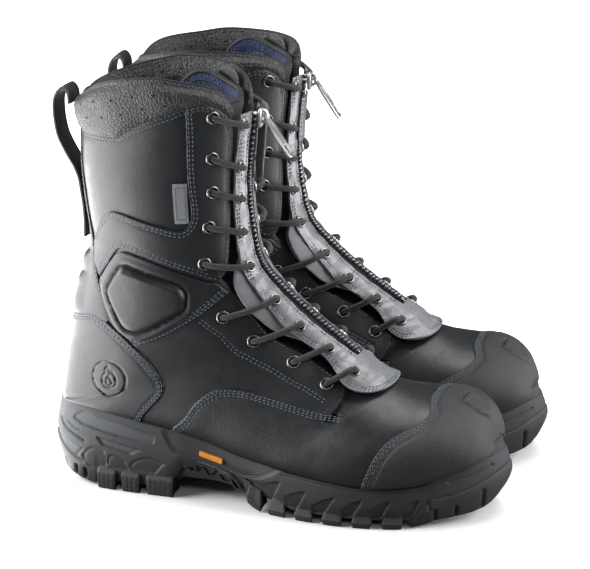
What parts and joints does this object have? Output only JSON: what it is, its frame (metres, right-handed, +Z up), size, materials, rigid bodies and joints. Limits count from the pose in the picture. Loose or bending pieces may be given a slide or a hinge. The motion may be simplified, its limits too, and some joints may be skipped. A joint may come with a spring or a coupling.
{
  "type": "pair of fire boots",
  "caption": "Pair of tall black leather fire boots with a rubber toe guard, lugged sole, padded collar, back pull loop, and a zip panel laced into the front.",
  "frame": {"origin": "bottom centre of the pair's bounding box, on the ground plane", "axes": "+X towards the toes, +Y to the wearer's left, +Z up"},
  "size_m": [0.3159, 0.2398, 0.2874],
  "materials": {
    "sole_rubber": "matte moulded rubber with a fine stipple",
    "arch_plastic": "satin moulded plastic",
    "foam": "matte foam",
    "footbed_fabric": "brushed fabric over foam",
    "cap_composite": "moulded composite",
    "counter_board": "moulded board",
    "lining_fabric": "knitted lining",
    "leather": "smooth black leather, semi-gloss",
    "toe_rubber": "fine-grained rubber coat",
    "overlay_leather": "smooth black leather, semi-gloss",
    "webbing": "black strap",
    "collar_leather": "soft pebbled leather with small vent holes",
    "eyelet_metal": "dark nickel",
    "panel_leather": "glossy black leather",
    "zip_metal": "blackened nickel",
    "pull_metal": "satin steel",
    "tongue_fabric": "padded mesh with a bound edge",
    "lace_cord": "round braided cord"
  },
  "bodies": {
    "right_boot": {"right_outsole": "sole_rubber", "right_arch_insert": "arch_plastic", "right_midsole": "foam", "right_footbed": "footbed_fabric", "right_toe_cap": "cap_composite", "right_heel_counter": "counter_board", "right_lining": "lining_fabric", "right_vamp": "leather", "right_quarters": "leather", "right_toe_guard": "toe_rubber", "right_heel_patch": "overlay_leather", "right_back_stay": "overlay_leather", "right_pull_loop": "webbing", "right_collar": "collar_leather", "right_facing_outer": "overlay_leather", "right_facing_inner": "overlay_leather", "right_ankle_pad_outer": "overlay_leather", "right_ankle_pad_inner": "overlay_leather", "right_eyelets_outer": "eyelet_metal", "right_eyelets_inner": "eyelet_metal", "right_zip_panel": "panel_leather", "right_zip_eyelets": "eyelet_metal", "right_zip_chain": "zip_metal", "right_zip_guard": "panel_leather", "right_tongue": "tongue_fabric", "right_lace_outer": "lace_cord", "right_lace_inner": "lace_cord"},
    "right_slider": {"right_zip_slider": "zip_metal"},
    "right_pull": {"right_zip_pull": "pull_metal"},
    "left_boot": {"left_outsole": "sole_rubber", "left_arch_insert": "arch_plastic", "left_midsole": "foam", "left_footbed": "footbed_fabric", "left_toe_cap": "cap_composite", "left_heel_counter": "counter_board", "left_lining": "lining_fabric", "left_vamp": "leather", "left_quarters": "leather", "left_toe_guard": "toe_rubber", "left_heel_patch": "overlay_leather", "left_back_stay": "overlay_leather", "left_pull_loop": "webbing", "left_collar": "collar_leather", "left_facing_outer": "overlay_leather", "left_facing_inner": "overlay_leather", "left_ankle_pad_outer": "overlay_leather", "left_ankle_pad_inner": "overlay_leather", "left_eyelets_outer": "eyelet_metal", "left_eyelets_inner": "eyelet_metal", "left_zip_panel": "panel_leather", "left_zip_eyelets": "eyelet_metal", "left_zip_chain": "zip_metal", "left_zip_guard": "panel_leather", "left_tongue": "tongue_fabric", "left_lace_outer": "lace_cord", "left_lace_inner": "lace_cord"},
    "left_slider": {"left_zip_slider": "zip_metal"},
    "left_pull": {"left_zip_pull": "pull_metal"}
  },
  "joints": [
    {"name": "right_slider_slide", "type": "slide", "parent": "right_boot", "child": "right_slider", "axis": [-0.0421, 0, -0.9991], "range_m": [0, 0.058]},
    {"name": "right_pull_hinge", "type": "hinge", "parent": "right_slider", "child": "right_pull", "pos_m": [-0.00819, -0.05914, 0.25548], "axis": [0, -1, 0], "range_deg": [-30, 114]},
    {"name": "left_slider_slide", "type": "slide", "parent": "left_boot", "child": "left_slider", "axis": [-0.042, -0.0031, -0.9991], "range_m": [0, 0.058]},
    {"name": "left_pull_hinge", "type": "hinge", "parent": "left_slider", "child": "left_pull", "pos_m": [-0.00877, 0.05293, 0.25548], "axis": [0.0732, -0.9973, 0], "range_deg": [-30, 114]},
    {"name": "left_boot_shift", "type": "slide", "parent": "right_boot", "child": "left_boot", "axis": [0, 1, 0], "range_m": [0, 0.2]}
  ]
}
